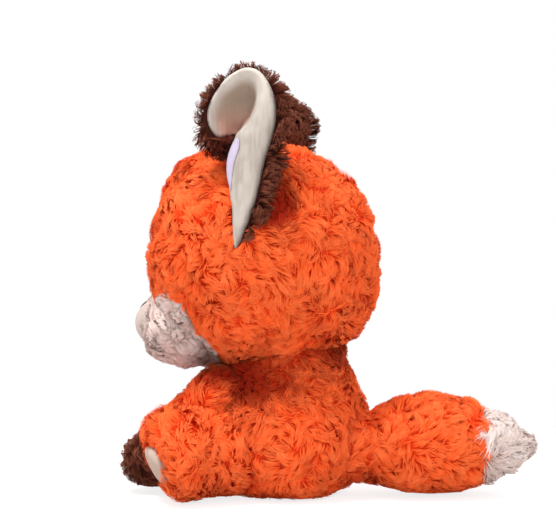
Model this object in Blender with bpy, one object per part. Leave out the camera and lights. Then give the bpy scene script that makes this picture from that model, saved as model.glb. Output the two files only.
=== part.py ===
"""Seated plush fox, built as separate named pieces at their real size.

The fox faces -Y and its left side is +X. The floor is z = 0, under the torso's middle.
Every soft piece is a filled form inside its fur: the pile stands proud of it.
"""

import math

import bmesh
import bpy
from mathutils import Matrix, Vector

# Clearances and cuts
SEAM_GAP = 0.0003
TURN_GAP = 0.0005
LIMB_GAP = 0.0014
FOLD_GAP = 0.0008
OVERRUN = 0.004

# Torso
TORSO_HALF_WIDTH = 0.050
TORSO_HALF_DEPTH = 0.048
TORSO_HEIGHT = 0.112
# Each pair is a share of the height and a share of the half width there.
TORSO_SHARES = (
    (0.00, 0.62), (0.03, 0.74), (0.09, 0.86), (0.18, 0.95), (0.30, 1.00), (0.42, 0.99),
    (0.54, 0.94), (0.64, 0.87), (0.73, 0.80), (0.82, 0.73), (0.90, 0.65), (0.97, 0.45),
)
PANEL_THICKNESS = 0.0025
PANEL_SHARE = 0.46
SEAT_BACK = 0.009
BEAN_BAG_RADIUS = 0.020
BEAN_BAG_HEIGHT = 0.026
BEAN_BAG_CROWN_SHARES = ((0.00, 0.80), (0.12, 0.94), (0.35, 1.00), (0.65, 0.97), (0.88, 0.80), (0.97, 0.50))

# Head
HEAD_RADIUS = 0.070
HEAD_FORWARD = 0.014
NECK_SINK = 0.030
HEAD_HEIGHT = TORSO_HEIGHT + HEAD_RADIUS - NECK_SINK
HEAD_CENTRE = Vector((0, -HEAD_FORWARD, HEAD_HEIGHT))

# Muzzle and snout
MUZZLE_HALF_WIDTH = 0.046
MUZZLE_HALF_DEPTH = 0.029
MUZZLE_HALF_HEIGHT = 0.024
MUZZLE_SINK = 0.0205
MUZZLE_FORWARD = HEAD_RADIUS - MUZZLE_SINK
MUZZLE_DROP = 0.0450
SNOUT_HALF_WIDTH = 0.018
SNOUT_HALF_DEPTH = 0.0155
SNOUT_HALF_HEIGHT = 0.014
SNOUT_FORWARD = 0.020
SNOUT_RISE = 0.002

# Plastic eyes and nose, each on a ribbed shank that a washer holds
EYE_TURN = math.radians(20)
EYE_TILT = math.radians(2)
EYE_RADIUS = 0.0058
EYE_DOME = 0.0040
NOSE_RADIUS = 0.0062
NOSE_DOME = 0.0032
NOSE_TILT = math.radians(42)
NOSE_HEIGHT_SHARE = 0.70
SHANK_RADIUS = 0.0016
SHANK_LENGTH = 0.0105
RIB_HEIGHT = 0.0004
RIB_COUNT = 3
WASHER_RADIUS = 0.0050
WASHER_THICKNESS = 0.0016
WASHER_DEPTH = 0.0060

# Ears, set out on the left side and mirrored: a cupped flap above a fold, and a root
# that tapers to a point down the side of the head
EAR_INSET = 0.0095
EAR_RISE = 0.0610
EAR_FOLD_X = HEAD_RADIUS - EAR_INSET
EAR_FOLD_Z = HEAD_HEIGHT + EAR_RISE
EAR_FOLD_RADIUS = 0.0030
EAR_FLAP_HEIGHT = 0.050
EAR_FLAP_HALF_WIDTH = 0.026
EAR_ROOT_LENGTH = 0.061
EAR_CUP_DEPTH = 0.015
EAR_LEAN = 0.004
EAR_BACK_THICKNESS = 0.0050
EAR_ROOT_THICKNESS = 0.0090
EAR_LINING_THICKNESS = 0.0016
EAR_LINING_DEPTH = 0.0020
EAR_LINING_MARGIN = 0.0035
# Share of the flap's height; its front and rear edges and the cup there, as shares of the
# half width and of the cup's depth.
EAR_FLAP_SHARES = (
    (0.10, -1.02, 0.40, 0.20), (0.16, -1.24, 0.46, 0.46), (0.26, -1.36, 0.52, 0.78),
    (0.40, -1.43, 0.55, 0.95), (0.54, -1.43, 0.56, 1.00), (0.68, -1.36, 0.51, 0.92),
    (0.80, -1.20, 0.40, 0.72), (0.90, -0.98, 0.24, 0.45), (0.97, -0.74, 0.00, 0.20),
    (1.00, -0.52, -0.20, 0.08),
)
EAR_FOLD_EDGE_SHARES = (-0.76, 0.40)
# Share of the root's length from its lower tip; its front and rear edges as above, and how
# far its face stands out from the fold's line, as a share of the lean.
EAR_ROOT_SHARES = (
    (0.00, -0.46, -0.38, 1.90), (0.12, -0.50, -0.24, 2.15), (0.28, -0.54, -0.08, 2.20),
    (0.45, -0.60, 0.12, 1.95), (0.62, -0.66, 0.26, 1.45), (0.78, -0.72, 0.34, 0.80),
    (0.90, -0.75, 0.38, 0.30), (1.00, -0.76, 0.40, 0.00),
)
TAG_HEIGHT = 0.020
TAG_WIDTH = 0.008
TAG_THICKNESS = 0.0010
TAG_DROP = 0.013

# Arms and paws
SHOULDER = Vector((0.031, -0.036, 0.064))
PAW_CENTRE = Vector((0.019, -0.083, 0.0195))
SHOULDER_RADIUS = 0.0165
ARM_RADIUS = 0.0145
PAW_RADIUS = 0.0160
PAW_SHARE = 0.70
ARM_LIFT = math.radians(25)
LIFT_STEPS = 3

# Legs and soles
HIP = Vector((0.033, -0.030, 0.0265))
SOLE = Vector((0.063, -0.067, 0.0270))
HIP_RADIUS = 0.0250
LEG_RADIUS = 0.0240
FOOT_RADIUS = 0.0270
SOLE_BLUNT_SHARE = 0.50
PAD_HALF_HEIGHT = 0.0165
PAD_HALF_WIDTH = 0.0125
PAD_BULGE = 0.0020
PAD_DROP = math.radians(20)

# Tail
TAIL_ROOT = Vector((0, 0.048, 0.0285))
TAIL_ROOT_RADIUS = 0.0190
TAIL_NECK_RADIUS = 0.0172
TAIL_RADIUS = 0.0290
TAIL_LENGTH = 0.109
TAIL_TURN = math.radians(20)
TAIL_SEAM_SHARE = 0.70
# Share of the tail's length, and of the way from the neck's radius to the full radius.
TAIL_SHARES = (
    (0.06, 0.00), (0.16, 0.50), (0.27, 0.85), (0.38, 1.00), (0.48, 0.97), (0.59, 0.76),
    (0.70, 0.47), (0.79, 0.32), (0.87, 0.15), (0.93, -0.14), (0.97, -0.44), (0.99, -0.78),
)

# Facets
AROUND_HEAD = 36
AROUND_TORSO = 32
AROUND_LIMB = 20
AROUND_SMALL = 12
EAR_COLUMNS = 8
CAP_STEPS = 5

ORANGE = (0.85, 0.09, 0.025, 1)
CREAM = (0.58, 0.50, 0.46, 1)
BROWN = (0.085, 0.03, 0.018, 1)
BLACK = (0.01, 0.01, 0.01, 1)
LAVENDER = (0.68, 0.64, 0.80, 1)


def clear_scene():
    for thing in list(bpy.data.objects):
        bpy.data.objects.remove(thing, do_unlink=True)


def material(name, colour, roughness):
    made = bpy.data.materials.new(name)
    made.use_nodes = True
    shader = made.node_tree.nodes["Principled BSDF"]
    shader.inputs["Base Color"].default_value = colour
    shader.inputs["Roughness"].default_value = roughness
    shader.inputs["Metallic"].default_value = 0
    return made


def add_object(name, points, faces, origin, colour=None, roughness=0.9):
    """A mesh object whose own origin is given, from points in the fox's frame."""
    mesh = bpy.data.meshes.new(name)
    mesh.from_pydata([Vector(point) - Vector(origin) for point in points], [], faces)
    mesh.validate()
    edit = bmesh.new()
    edit.from_mesh(mesh)
    bmesh.ops.recalc_face_normals(edit, faces=edit.faces)
    edit.to_mesh(mesh)
    edit.free()
    mesh.shade_smooth()
    mesh.set_sharp_from_angle(angle=math.radians(50))
    made = bpy.data.objects.new(name, mesh)
    made.location = origin
    bpy.context.scene.collection.objects.link(made)
    if colour:
        mesh.materials.append(material(name, colour, roughness))
    else:
        made.hide_render = True
        made.display_type = "WIRE"
    return made


def loft(name, rings, origin, first_pole=None, last_pole=None, **look):
    """A closed skin through rings of equally many points. Without a pole, an end is flat."""
    around = len(rings[0])
    points = [point for ring in rings for point in ring]
    faces = []
    for row in range(len(rings) - 1):
        for column in range(around):
            beside = (column + 1) % around
            low, high = row * around, (row + 1) * around
            faces.append((low + column, low + beside, high + beside, high + column))
    for pole, start in ((first_pole, 0), (last_pole, (len(rings) - 1) * around)):
        rim = [start + column for column in range(around)]
        if pole is None:
            faces.append(tuple(rim))
            continue
        points.append(pole)
        for column in range(around):
            faces.append((rim[column], rim[(column + 1) % around], len(points) - 1))
    return add_object(name, points, faces, origin, **look)


def cut(target, *cutters):
    for cutter in cutters:
        boolean = target.modifiers.new(cutter.name, "BOOLEAN")
        boolean.operation = "DIFFERENCE"
        boolean.solver = "EXACT"
        boolean.object = cutter


def ellipsoid(name, centre, radii, around, origin, grow=0, **look):
    """An ellipsoid with its poles on Z, grown by a clearance where it is a cutter."""
    across, along, up = (radius + grow for radius in radii)
    rings = []
    steps = around // 2
    for step in range(1, steps):
        tilt = math.pi * step / steps - math.pi / 2
        rings.append([
            centre + Vector((
                across * math.cos(tilt) * math.cos(turn),
                along * math.cos(tilt) * math.sin(turn),
                up * math.sin(tilt),
            ))
            for turn in turns(around)
        ])
    low, high = centre - Vector((0, 0, up)), centre + Vector((0, 0, up))
    return loft(name, rings, origin, low, high, **look)


def turns(around):
    return [2 * math.pi * step / around for step in range(around)]


def axis_frame(start, end):
    """The direction from start to end, and the level and rising directions square to it."""
    along = (end - start).normalized()
    level = Vector((0, 0, 1)).cross(along).normalized()
    return along, level, along.cross(level)


def pod(name, start, end, profile, origin, around=AROUND_LIMB, grow=0, floor=True, **look):
    """A round form along a straight line, from (distance, radius) pairs. A pair with no
    radius at either end is a pole, and what would pass through the floor lies flat on it."""
    along, level, rising = axis_frame(start, end)

    def place(distance, radius, turn):
        side = level * math.cos(turn) + rising * math.sin(turn)
        point = start + along * distance + side * radius
        if floor:
            point.z = max(point.z, 0)
        return point

    poles = []
    for distance, radius in (profile[0], profile[-1]):
        outward = grow if (distance, radius) == profile[-1] else -grow
        poles.append(place(distance + outward, 0, 0) if radius == 0 else None)
    rings = [
        [place(distance, radius + grow, turn) for turn in turns(around)]
        for distance, radius in profile
        if radius > 0
    ]
    return loft(name, rings, origin, *poles, **look)


def ball_end(radius):
    """The inner half of a ball about the start of a limb."""
    steps = [math.pi / 2 * step / CAP_STEPS for step in range(CAP_STEPS + 1)]
    return [(-radius * math.cos(angle), radius * math.sin(angle)) for angle in steps]


def dome_end(distance, radius, bulge):
    """A dome that closes a limb, from its widest ring to its pole."""
    steps = [math.pi / 2 * step / CAP_STEPS for step in range(1, CAP_STEPS)]
    ends = [(distance + bulge * math.sin(angle), radius * math.cos(angle)) for angle in steps]
    return ends + [(distance + bulge, 0)]


def limb_profile(root_radius, neck_radius, end_radius, length, bulge):
    """A ball at the joint, a slightly drawn-in neck, and a swell up to the limb's end."""
    swell_start, swell_end = root_radius * 0.4, length - bulge
    body = []
    for step in range(CAP_STEPS + 1):
        share = step / CAP_STEPS
        eased = share * share * (3 - 2 * share)
        distance = swell_start + (swell_end - swell_start) * share
        body.append((distance, neck_radius + (end_radius - neck_radius) * eased))
    return ball_end(root_radius) + body + dome_end(swell_end, end_radius, bulge)


def without_ball(profile):
    """A limb's profile with its neck carried straight back to its joint, and no ball."""
    beyond = profile[CAP_STEPS + 1:]
    return [(0, beyond[0][1])] + beyond


def split_profile(profile, distance, gap):
    """The two parts of a profile, with a gap between their flat ends at a distance."""
    before = [pair for pair in profile if pair[0] < distance - gap]
    after = [pair for pair in profile if pair[0] > distance + gap]
    (low, low_radius), (high, high_radius) = before[-1], after[0]
    slope = (high_radius - low_radius) / (high - low)
    first_end = distance - gap / 2
    second_start = distance + gap / 2
    before.append((first_end, low_radius + slope * (first_end - low)))
    after.insert(0, (second_start, low_radius + slope * (second_start - low)))
    return before, after


def mirrored(point, side):
    return Vector((side * point[0], point[1], point[2]))


def sides():
    return (("left", 1), ("right", -1))


def ring_at(height, half_width, half_depth, around, back=0):
    return [
        Vector((half_width * math.cos(turn), back + half_depth * math.sin(turn), height))
        for turn in turns(around)
    ]


def make_torso():
    rings = [
        ring_at(TORSO_HEIGHT * up, TORSO_HALF_WIDTH * wide, TORSO_HALF_DEPTH * wide, AROUND_TORSO)
        for up, wide in TORSO_SHARES
    ]
    top = Vector((0, 0, TORSO_HEIGHT))
    torso = loft("torso", rings, (0, 0, 0), None, top, colour=ORANGE)
    half_width, half_depth = TORSO_HALF_WIDTH * PANEL_SHARE, TORSO_HALF_DEPTH * PANEL_SHARE
    panel_rings = [
        ring_at(height, half_width, half_depth, AROUND_LIMB, SEAT_BACK)
        for height in (0, PANEL_THICKNESS)
    ]
    loft("base_panel", panel_rings, (0, 0, 0), colour=ORANGE)
    recess_rings = [
        ring_at(height, half_width + SEAM_GAP, half_depth + SEAM_GAP, AROUND_LIMB, SEAT_BACK)
        for height in (-OVERRUN, PANEL_THICKNESS + SEAM_GAP)
    ]
    recess = loft("recess_cutter", recess_rings, (0, 0, 0))
    bag_base = PANEL_THICKNESS + SEAM_GAP
    bag_rings, pocket_rings = [], []
    for up, wide in BEAN_BAG_CROWN_SHARES:
        height, radius = bag_base + BEAN_BAG_HEIGHT * up, BEAN_BAG_RADIUS * wide
        bag_rings.append(ring_at(height, radius, radius, AROUND_LIMB, SEAT_BACK))
        wider = radius + SEAM_GAP
        pocket_rings.append(ring_at(height + SEAM_GAP, wider, wider, AROUND_LIMB, SEAT_BACK))
    widest = BEAN_BAG_RADIUS + SEAM_GAP
    pocket_rings = pocket_rings[2:]
    pocket_rings.insert(0, ring_at(-OVERRUN, widest, widest, AROUND_LIMB, SEAT_BACK))
    bag_top = Vector((0, SEAT_BACK, bag_base + BEAN_BAG_HEIGHT))
    loft("bean_bag", bag_rings, (0, 0, 0), None, bag_top, colour=CREAM)
    pocket = loft("pocket_cutter", pocket_rings, (0, 0, 0), None, bag_top + Vector((0, 0, 2 * SEAM_GAP)))
    cut(torso, recess, pocket)
    return torso


def head_ball(name, grow=0, **look):
    radii = (HEAD_RADIUS, HEAD_RADIUS, HEAD_RADIUS)
    return ellipsoid(name, HEAD_CENTRE, radii, AROUND_HEAD, HEAD_CENTRE, grow, **look)


def muzzle_form(name, grow=0, **look):
    centre = HEAD_CENTRE - Vector((0, MUZZLE_FORWARD, MUZZLE_DROP))
    radii = (MUZZLE_HALF_WIDTH, MUZZLE_HALF_DEPTH, MUZZLE_HALF_HEIGHT)
    return ellipsoid(name, centre, radii, AROUND_LIMB, HEAD_CENTRE, grow, **look)


def snout_centre():
    return HEAD_CENTRE + Vector((0, -MUZZLE_FORWARD - SNOUT_FORWARD, SNOUT_RISE - MUZZLE_DROP))


def shank_profile(radius, dome, grow):
    """Half the section of a plastic eye or nose: dome, ribbed shank and its end. Distances
    run from the fabric's surface along the shank, so the dome's are below zero."""
    profile = [(-dome - grow, 0)]
    for step in range(1, CAP_STEPS + 1):
        angle = math.pi / 2 * step / CAP_STEPS
        profile.append((-(dome + grow) * math.cos(angle), (radius + grow) * math.sin(angle)))
    back = dome / 4
    profile.append((back + grow, (radius - back) + grow))
    return profile, back


def fastened(name, surface, inward, radius, dome, *carriers):
    """A domed piece on a shank, and the washer that holds it inside its carriers."""
    profile, back = shank_profile(radius, dome, 0)
    profile.append((back, SHANK_RADIUS))
    pitch = (SHANK_LENGTH - WASHER_DEPTH - WASHER_THICKNESS) / (RIB_COUNT + 1)
    ribs_start = WASHER_DEPTH + WASHER_THICKNESS + SEAM_GAP
    for rib in range(RIB_COUNT):
        at = ribs_start + rib * pitch
        profile.append((at, SHANK_RADIUS))
        profile.append((at + pitch / 3, SHANK_RADIUS + RIB_HEIGHT))
        profile.append((at + pitch * 2 / 3, SHANK_RADIUS))
    profile.append((SHANK_LENGTH, SHANK_RADIUS))
    end = surface + inward
    options = {"around": AROUND_SMALL, "floor": False}
    pod(name, surface, end, profile, HEAD_CENTRE, colour=BLACK, roughness=0.15, **options)

    seat, seat_back = shank_profile(radius, dome, SEAM_GAP)
    bore = SHANK_RADIUS + RIB_HEIGHT + SEAM_GAP
    pocket_front = WASHER_DEPTH - SEAM_GAP
    pocket_back = WASHER_DEPTH + WASHER_THICKNESS + SEAM_GAP
    seat += [
        (seat_back + SEAM_GAP, bore),
        (pocket_front, bore),
        (pocket_front, WASHER_RADIUS + SEAM_GAP),
        (pocket_back, WASHER_RADIUS + SEAM_GAP),
        (pocket_back, bore),
        (SHANK_LENGTH + SEAM_GAP, bore),
    ]
    cutter = pod(name + "_cutter", surface, end, seat, HEAD_CENTRE, **options)
    for carrier in carriers:
        cut(carrier, cutter)

    washer_name = name.replace("eye", "eye_washer").replace("nose", "nose_washer")
    washer_profile = [
        (WASHER_DEPTH, WASHER_RADIUS), (WASHER_DEPTH + WASHER_THICKNESS, WASHER_RADIUS)
    ]
    washer = pod(
        washer_name, surface, end, washer_profile, HEAD_CENTRE, colour=BLACK, roughness=0.4, **options
    )
    hole_profile = [
        (WASHER_DEPTH - OVERRUN, SHANK_RADIUS + SEAM_GAP),
        (WASHER_DEPTH + WASHER_THICKNESS + OVERRUN, SHANK_RADIUS + SEAM_GAP),
    ]
    cut(washer, pod(washer_name + "_cutter", surface, end, hole_profile, HEAD_CENTRE, **options))


def make_head():
    head = head_ball("head", colour=ORANGE)
    muzzle = muzzle_form("muzzle_fur", colour=CREAM)
    cut(muzzle, head_ball("muzzle_seat_cutter", SEAM_GAP))
    radii = (SNOUT_HALF_WIDTH, SNOUT_HALF_DEPTH, SNOUT_HALF_HEIGHT)
    snout = ellipsoid("snout", snout_centre(), radii, AROUND_LIMB, HEAD_CENTRE, colour=CREAM)
    cut(snout, muzzle_form("snout_seat_cutter", SEAM_GAP))
    for side_name, side in sides():
        outward = Vector((
            side * math.sin(EYE_TURN) * math.cos(EYE_TILT),
            -math.cos(EYE_TURN) * math.cos(EYE_TILT),
            math.sin(EYE_TILT),
        ))
        surface = HEAD_CENTRE + outward * HEAD_RADIUS
        fastened("eye_" + side_name, surface, -outward, EYE_RADIUS, EYE_DOME, head)
    nose_out = Vector((0, -math.cos(NOSE_TILT), math.sin(NOSE_TILT)))
    rise = SNOUT_HALF_HEIGHT * NOSE_HEIGHT_SHARE
    depth = SNOUT_HALF_DEPTH * math.sqrt(1 - NOSE_HEIGHT_SHARE * NOSE_HEIGHT_SHARE)
    surface = snout_centre() + Vector((0, -depth, rise))
    fastened("nose", surface, -nose_out, NOSE_RADIUS, NOSE_DOME, snout, muzzle)


def slab(name, rows, side, origin, **look):
    """A closed curved sheet on one side of the head. Each row holds its height, its front
    and rear edges, and a front and a back x for any place across it."""
    rings = []
    for height, front_edge, rear_edge, front_x, back_x in rows:
        across = [step / EAR_COLUMNS for step in range(EAR_COLUMNS + 1)]
        face = [
            Vector((side * front_x(share), front_edge + (rear_edge - front_edge) * share, height))
            for share in across
        ]
        back = [
            Vector((side * back_x(share), front_edge + (rear_edge - front_edge) * share, height))
            for share in reversed(across)
        ]
        rings.append(face + back)
    return loft(name, rings, origin, **look)


def cup_x(rim, depth=0):
    """The x of a row, which is deepest halfway across where it is cupped."""
    return lambda share: rim - depth * (1 - (2 * share - 1) ** 2)


def fold_rows():
    """The flap's lower end, rolled round the fold's line."""
    front, rear = EAR_FOLD_EDGE_SHARES
    rows = []
    for step in range(CAP_STEPS):
        angle = math.pi / 2 * ((step + 0.5) / CAP_STEPS - 1)
        height = EAR_FOLD_Z + EAR_FOLD_RADIUS * math.sin(angle)
        half = EAR_FOLD_RADIUS * math.cos(angle)
        edges = EAR_FLAP_HALF_WIDTH * front, EAR_FLAP_HALF_WIDTH * rear
        rows.append((height, *edges, cup_x(EAR_FOLD_X + half), cup_x(EAR_FOLD_X - half)))
    return rows


def flap_rows(margin, front_offset, back_offset):
    """Rows of the cupped flap. A margin draws its edges in, as on the lining."""
    rows = []
    for up, front, rear, cup in EAR_FLAP_SHARES:
        height = EAR_FOLD_Z + (EAR_FLAP_HEIGHT - margin) * up + margin * (1 - up)
        front_edge = EAR_FLAP_HALF_WIDTH * front + margin
        rear_edge = EAR_FLAP_HALF_WIDTH * rear - margin
        rim = EAR_FOLD_X + EAR_BACK_THICKNESS / 2 + EAR_LEAN * up
        face = cup_x(rim + front_offset, EAR_CUP_DEPTH * cup)
        back = cup_x(rim + back_offset, EAR_CUP_DEPTH * cup)
        rows.append((height, front_edge, rear_edge, face, back))
    return rows


def root_rows(margin, front_offset, back_offset):
    """Rows of the root, from its lower tip up to the fold."""
    rows = []
    for up, front, rear, out in EAR_ROOT_SHARES:
        inset = margin * min(1, (rear - front) * 2)
        height = EAR_FOLD_Z - EAR_ROOT_LENGTH * (1 - up) + margin * (1 - 2 * up)
        front_edge = EAR_FLAP_HALF_WIDTH * front + inset
        rear_edge = EAR_FLAP_HALF_WIDTH * rear - inset
        rim = EAR_FOLD_X + EAR_ROOT_THICKNESS / 2 + EAR_LEAN * out
        rows.append((height, front_edge, rear_edge, cup_x(rim + front_offset), cup_x(rim + back_offset)))
    return rows


def make_lining(name, rows_of, thickness, side, origin):
    """A lining that lies on the face of the ear's back, which cuts its underside."""
    rows = rows_of(EAR_LINING_MARGIN, SEAM_GAP + EAR_LINING_THICKNESS, -EAR_LINING_DEPTH)
    lining = slab(name, rows, side, origin, colour=CREAM)
    cutter_rows = rows_of(0, SEAM_GAP, -thickness)
    cut(lining, slab(name + "_cutter", cutter_rows, side, origin))
    return lining


def make_ears():
    for side_name, side in sides():
        origin = Vector((side * EAR_FOLD_X, 0, EAR_FOLD_Z))
        rows = fold_rows() + flap_rows(0, 0, -EAR_BACK_THICKNESS)
        slab("ear_flap_" + side_name, rows, side, origin, colour=BROWN)
        make_lining("ear_flap_lining_" + side_name, flap_rows, EAR_BACK_THICKNESS, side, origin)
        rows = root_rows(0, 0, -EAR_ROOT_THICKNESS)
        root = slab("ear_root_" + side_name, rows, side, HEAD_CENTRE, colour=BROWN)
        lining_name = "ear_root_lining_" + side_name
        make_lining(lining_name, root_rows, EAR_ROOT_THICKNESS, side, HEAD_CENTRE)
        cut(root, head_ball("ear_seat_cutter_" + side_name, SEAM_GAP))
        cut(root, fold_cutter("ear_fold_cutter_" + side_name, origin))
    make_tag()


def fold_cutter(name, centre):
    """A bar along the fold's line that leaves the flap's rolled end room to turn."""
    start = centre - Vector((0, EAR_FLAP_HALF_WIDTH + OVERRUN, 0))
    end = centre + Vector((0, EAR_FLAP_HALF_WIDTH + OVERRUN, 0))
    radius = EAR_FOLD_RADIUS + FOLD_GAP
    profile = [(0, radius), ((end - start).length, radius)]
    return pod(name, start, end, profile, centre, floor=False)


def make_tag():
    """A bare folded fabric loop, sewn into the front edge of the left ear's root."""
    edge = EAR_FLAP_HALF_WIDTH * EAR_FOLD_EDGE_SHARES[0] - SEAM_GAP
    low = EAR_FOLD_Z - TAG_DROP - TAG_HEIGHT / 2
    face_x = EAR_FOLD_X + EAR_LEAN
    rings = []
    for x in (face_x - TAG_THICKNESS, face_x):
        ring = []
        for step in range(AROUND_SMALL + 1):
            angle = math.pi * step / AROUND_SMALL
            height = low + TAG_HEIGHT / 2 * (1 - math.cos(angle))
            ring.append(Vector((x, edge - TAG_WIDTH * math.sin(angle), height)))
        rings.append(ring)
    loft("ear_tag", rings, HEAD_CENTRE, colour=LAVENDER, roughness=0.6)


def leg_form(name, side, grow=0, ball=True, **look):
    hip, sole = mirrored(HIP, side), mirrored(SOLE, side)
    length = (sole - hip).length
    bulge = FOOT_RADIUS * SOLE_BLUNT_SHARE
    profile = limb_profile(HIP_RADIUS, LEG_RADIUS, FOOT_RADIUS, length, bulge)
    if not ball:
        profile = without_ball(profile)
    return pod(name, hip, sole, profile, hip, grow=grow, floor=grow == 0, **look)


def make_pad(side_name, side):
    """The smooth oval sole, which lies on the foot's blunt end and bulges a little."""
    hip, sole = mirrored(HIP, side), mirrored(SOLE, side)
    along, level, rising = axis_frame(hip, sole)
    tilt = Matrix.Rotation(PAD_DROP, 3, level)
    outward, upward = tilt @ along, tilt @ rising
    reach = FOOT_RADIUS * SOLE_BLUNT_SHARE
    centre = sole - along * reach + outward * reach - outward * PAD_BULGE
    rings = []
    steps = AROUND_SMALL // 2
    for step in range(1, steps):
        tilt_angle = math.pi * step / steps - math.pi / 2
        wide = math.cos(tilt_angle)
        rings.append([
            centre
            + level * (PAD_HALF_WIDTH * wide * math.cos(turn))
            + upward * (PAD_HALF_HEIGHT * wide * math.sin(turn))
            + outward * (PAD_BULGE * 2 * math.sin(tilt_angle))
            for turn in turns(AROUND_LIMB)
        ])
    first, last = centre - outward * PAD_BULGE * 2, centre + outward * PAD_BULGE * 2
    pad = loft("sole_pad_" + side_name, rings, hip, first, last, colour=CREAM)
    cut(pad, leg_form("pad_seat_cutter_" + side_name, side, SEAM_GAP))


def ball_cutter(name, centre, radius):
    """A socket with finer facets than its ball, so that the ball's corners clear them."""
    radii = (radius, radius, radius)
    return ellipsoid(name, centre, radii, AROUND_TORSO, centre, TURN_GAP)


def make_legs(torso):
    for side_name, side in sides():
        leg_form("leg_" + side_name, side, colour=ORANGE)
        make_pad(side_name, side)
        cut(torso, ball_cutter("hip_cutter_" + side_name, mirrored(HIP, side), HIP_RADIUS))
        cut(torso, leg_form("leg_cutter_" + side_name, side, LIMB_GAP, ball=False))


def lift_cutters(name, side, shoulder):
    """The leg where the arm meets it through its lift, so that the arm clears it."""
    cutters = []
    for step in range(LIFT_STEPS + 1):
        cutter = leg_form(f"{name}_{step}", side, LIMB_GAP)
        turn = Matrix.Rotation(ARM_LIFT * step / LIFT_STEPS, 3, "X")
        cutter.location = shoulder + turn @ (mirrored(HIP, side) - shoulder)
        cutter.rotation_euler = turn.to_euler()
        cutters.append(cutter)
    return cutters


def make_arms(torso):
    for side_name, side in sides():
        shoulder, paw_centre = mirrored(SHOULDER, side), mirrored(PAW_CENTRE, side)
        along = (paw_centre - shoulder).normalized()
        length = (paw_centre - shoulder).length + PAW_RADIUS
        profile = limb_profile(SHOULDER_RADIUS, ARM_RADIUS, PAW_RADIUS, length, PAW_RADIUS)
        seam = length * PAW_SHARE
        arm_profile, paw_profile = split_profile(profile, seam, SEAM_GAP)
        end = shoulder + along * length
        arm = pod("arm_" + side_name, shoulder, end, arm_profile, shoulder, colour=ORANGE)
        pod("paw_" + side_name, shoulder, end, paw_profile, shoulder, colour=BROWN)
        leg_cutters = lift_cutters("arm_leg_cutter_" + side_name, side, shoulder)
        cut(arm, *leg_cutters)
        cut(bpy.data.objects["paw_" + side_name], *leg_cutters)
        cut(torso, ball_cutter("shoulder_cutter_" + side_name, shoulder, SHOULDER_RADIUS))
        beyond = without_ball(profile)
        name = "arm_cutter_" + side_name
        cut(torso, pod(name, shoulder, end, beyond, shoulder, grow=LIMB_GAP, floor=False))


def make_tail(torso):
    """The tail rests on the floor, swung to the fox's right as in the photograph."""
    tip = TAIL_ROOT + Vector((-math.sin(TAIL_TURN), math.cos(TAIL_TURN), 0)) * TAIL_LENGTH
    profile = ball_end(TAIL_ROOT_RADIUS)
    for along, swell in TAIL_SHARES:
        radius = TAIL_NECK_RADIUS + (TAIL_RADIUS - TAIL_NECK_RADIUS) * swell
        profile.append((TAIL_LENGTH * along, radius))
    profile.append((TAIL_LENGTH, 0))
    tail_profile, tip_profile = split_profile(profile, TAIL_LENGTH * TAIL_SEAM_SHARE, SEAM_GAP)
    pod("tail", TAIL_ROOT, tip, tail_profile, TAIL_ROOT, colour=ORANGE)
    pod("tail_tip", TAIL_ROOT, tip, tip_profile, TAIL_ROOT, colour=CREAM)
    cut(torso, ball_cutter("tail_socket_cutter", TAIL_ROOT, TAIL_ROOT_RADIUS))


def main():
    clear_scene()
    torso = make_torso()
    make_head()
    make_ears()
    make_legs(torso)
    make_arms(torso)
    make_tail(torso)
    cut(torso, head_ball("neck_cutter", TURN_GAP))


main()
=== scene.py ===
"""Seated plush fox: its fur, ears and pads, and a plain studio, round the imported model.

Lengths are in metres, in the model's own frame: the fox faces -Y and +X is its left side.
"""

import math

import bpy
import numpy as np
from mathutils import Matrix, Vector
from mathutils.bvhtree import BVHTree
from mathutils.geometry import delaunay_2d_cdt
from mathutils.kdtree import KDTree


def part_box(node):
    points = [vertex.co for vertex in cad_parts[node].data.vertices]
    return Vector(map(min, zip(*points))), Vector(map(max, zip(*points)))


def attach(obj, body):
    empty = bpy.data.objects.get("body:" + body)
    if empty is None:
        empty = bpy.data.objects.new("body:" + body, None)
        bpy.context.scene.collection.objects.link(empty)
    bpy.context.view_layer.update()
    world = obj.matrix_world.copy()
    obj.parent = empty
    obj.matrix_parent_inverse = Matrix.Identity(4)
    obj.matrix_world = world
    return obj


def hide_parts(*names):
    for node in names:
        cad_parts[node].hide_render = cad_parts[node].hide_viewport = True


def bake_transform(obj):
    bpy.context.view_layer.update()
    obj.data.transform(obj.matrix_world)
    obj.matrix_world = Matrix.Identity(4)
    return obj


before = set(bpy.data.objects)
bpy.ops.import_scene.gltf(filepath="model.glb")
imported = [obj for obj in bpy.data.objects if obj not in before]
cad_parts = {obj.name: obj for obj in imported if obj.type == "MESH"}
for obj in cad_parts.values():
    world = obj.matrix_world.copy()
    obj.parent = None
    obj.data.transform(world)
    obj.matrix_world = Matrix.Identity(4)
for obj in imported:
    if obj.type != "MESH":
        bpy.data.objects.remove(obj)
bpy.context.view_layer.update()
SIDES = {"left": 1, "right": -1}
chance = np.random.default_rng(7)

# Camera, as a direction from the fox and a distance; the shift is sideways
CAMERA_TURN = math.radians(75)
CAMERA_DISTANCE = 0.900
CAMERA_HEIGHT = 0.147
CAMERA_SHIFT = -0.0045
CAMERA_LENS = 90.5
SENSOR_WIDTH = 36.0

# A root this close to a neighbour's surface counts as covered
HIDDEN_DEPTH = 0.0015
PROBE = Vector((0.21, 0.35, 0.91)).normalized()
PROBE_STEP = 0.00001
TINY = 1e-12

# The curve between a colour as it shows and the light it reflects
FULL_COLOUR = 255
DARK_LIMIT = 0.04045
DARK_SLOPE = 12.92
CURVE_OFFSET = 0.055
CURVE_POWER = 2.4


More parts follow.
